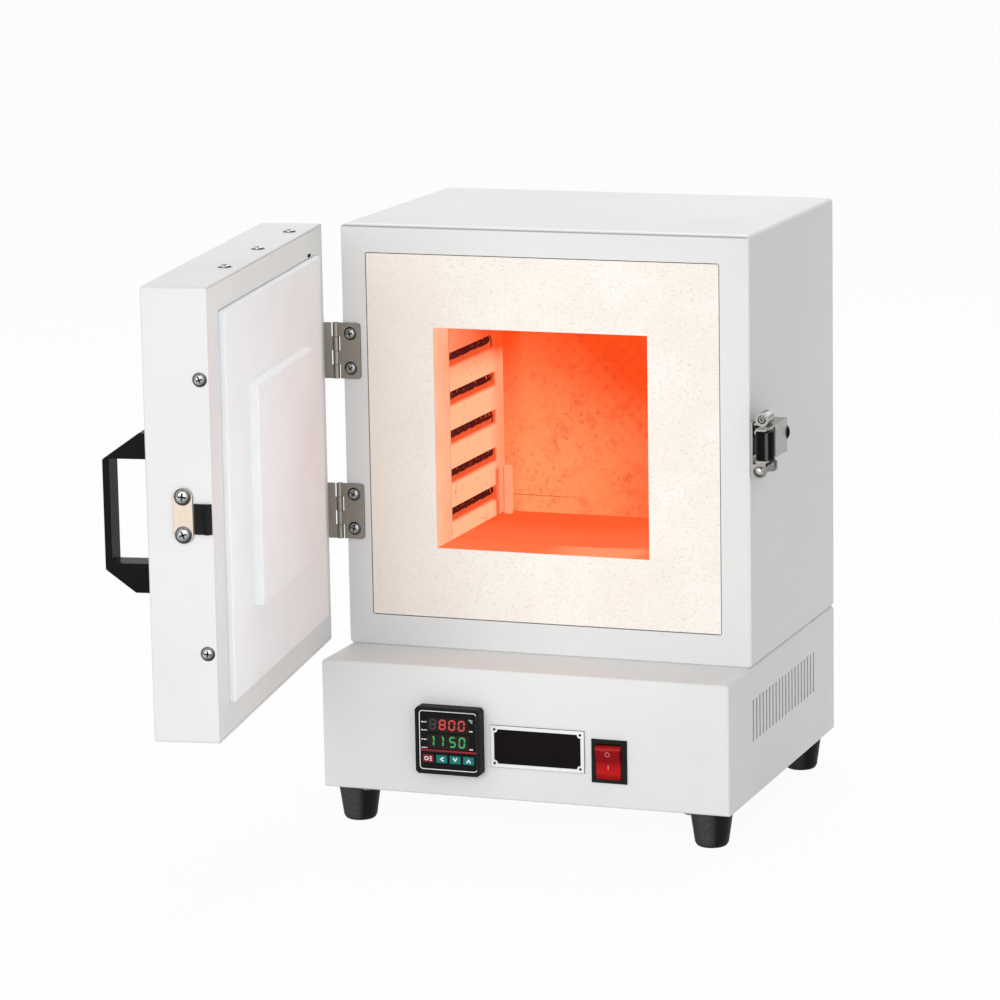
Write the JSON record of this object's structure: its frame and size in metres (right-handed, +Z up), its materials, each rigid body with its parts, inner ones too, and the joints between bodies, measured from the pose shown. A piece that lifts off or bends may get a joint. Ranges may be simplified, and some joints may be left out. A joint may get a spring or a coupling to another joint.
{
  "type": "wax burnout oven",
  "caption": "Small bench-top wax burnout oven: side-hung insulated door standing open, glowing fibre chamber with wound coils, sprung roller latch, and a base with a digital controller.",
  "frame": {"origin": "middle of the box round the oven at rest with its door open, at the height of the feet's undersides", "axes": "+Z up, -Y toward the front where the door and the controls are, +X toward the latch side"},
  "size_m": [0.379, 0.528, 0.4233],
  "materials": {
    "white_paint": "fine satin powder coat",
    "fibre_board": "dry speckled fibre board",
    "fibre_wool": "loose mineral wool",
    "heating_wire": "dark oxide",
    "ceramic_sheath": "unglazed ceramic",
    "black_plastic": "fine texture",
    "black_rubber": "satin",
    "display_window": "smooth film",
    "black_enamel": "satin enamel",
    "red_key": "smooth film",
    "teal_key": "smooth film",
    "red_rocker": "translucent gloss",
    "bare_aluminium": "extruded",
    "nickel_plate": "warm nickel plate",
    "plated_steel": "zinc plate",
    "screw_steel": "bright plate"
  },
  "bodies": {
    "oven": {"base_back_panel": "white_paint", "base_bottom_plate": "white_paint", "base_cover": "white_paint", "cabinet_back_panel": "white_paint", "cabinet_screws": "screw_steel", "cabinet_shell": "white_paint", "chamber_back_wall": "fibre_board", "chamber_floor": "fibre_board", "chamber_left_wall": "fibre_board", "chamber_right_wall": "fibre_board", "chamber_roof": "fibre_board", "controller_bezel": "black_plastic", "controller_case": "black_plastic", "controller_window": "display_window", "foot_back_left": "black_rubber", "foot_back_right": "black_rubber", "foot_front_left": "black_rubber", "foot_front_right": "black_rubber", "front_fascia": "fibre_board", "heating_coil_left": "heating_wire", "heating_coil_right": "heating_wire", "hinge_leaf_lower_box": "plated_steel", "hinge_leaf_upper_box": "plated_steel", "hinge_pin_lower": "plated_steel", "hinge_pin_upper": "plated_steel", "insulation_wool": "fibre_wool", "latch_base": "plated_steel", "latch_pivot_pin": "plated_steel", "latch_spring": "plated_steel", "name_plate": "black_enamel", "name_plate_rivets": "black_enamel", "power_inlet": "black_plastic", "relay_heatsink": "bare_aluminium", "solid_state_relay": "black_plastic", "switch_body": "black_plastic", "terminal_block": "black_plastic", "thermocouple_tube": "ceramic_sheath"},
    "door": {"door_board": "fibre_board", "door_handle": "black_plastic", "door_inner_frame": "white_paint", "door_outer_shell": "white_paint", "door_plug": "fibre_board", "door_screws": "screw_steel", "door_wool": "fibre_wool", "hinge_leaf_lower_door": "plated_steel", "hinge_leaf_upper_door": "plated_steel", "strike_plate": "nickel_plate", "strike_screws": "screw_steel", "strike_tongue": "black_plastic"},
    "latch_arm": {"latch_arm": "plated_steel", "latch_grip_pin": "nickel_plate", "latch_roller_pin": "plated_steel", "latch_end_cap": "black_rubber"},
    "latch_roller": {"latch_roller": "black_plastic"},
    "switch_rocker": {"switch_rocker": "red_rocker"},
    "key_set": {"key_set": "red_key"},
    "key_left": {"key_left": "teal_key"},
    "key_down": {"key_down": "teal_key"},
    "key_up": {"key_up": "teal_key"}
  },
  "joints": [
    {"name": "door_hinge", "type": "hinge", "parent": "oven", "child": "door", "pos_m": [-0.13763, 0.05108, 0.2153], "axis": [0, 0, -1], "range_deg": [-81.5, 98.5]},
    {"name": "latch_pivot", "type": "hinge", "parent": "oven", "child": "latch_arm", "pos_m": [0.17397, 0.06623, 0.2583], "axis": [0, 1, 0], "range_deg": [0, 10], "stiffness_Nm_per_rad": 0.5, "springref_deg": -17.19},
    {"name": "roller_spin", "type": "hinge", "parent": "latch_arm", "child": "latch_roller", "pos_m": [0.18307, 0.03498, 0.28005], "axis": [0, 0, 1], "continuous": true},
    {"name": "switch_tilt", "type": "hinge", "parent": "oven", "child": "switch_rocker", "pos_m": [0.08097, -0.00102, 0.0597], "axis": [-1, 0, 0], "range_deg": [0, 16]},
    {"name": "key_set_press", "type": "slide", "parent": "oven", "child": "key_set", "axis": [0, 1, 0], "range_m": [0, 0.0005], "stiffness_N_per_m": 800, "springref_m": -0.0005},
    {"name": "key_left_press", "type": "slide", "parent": "oven", "child": "key_left", "axis": [0, 1, 0], "range_m": [0, 0.0005], "stiffness_N_per_m": 800, "springref_m": -0.0005},
    {"name": "key_down_press", "type": "slide", "parent": "oven", "child": "key_down", "axis": [0, 1, 0], "range_m": [0, 0.0005], "stiffness_N_per_m": 800, "springref_m": -0.0005},
    {"name": "key_up_press", "type": "slide", "parent": "oven", "child": "key_up", "axis": [0, 1, 0], "range_m": [0, 0.0005], "stiffness_N_per_m": 800, "springref_m": -0.0005}
  ]
}
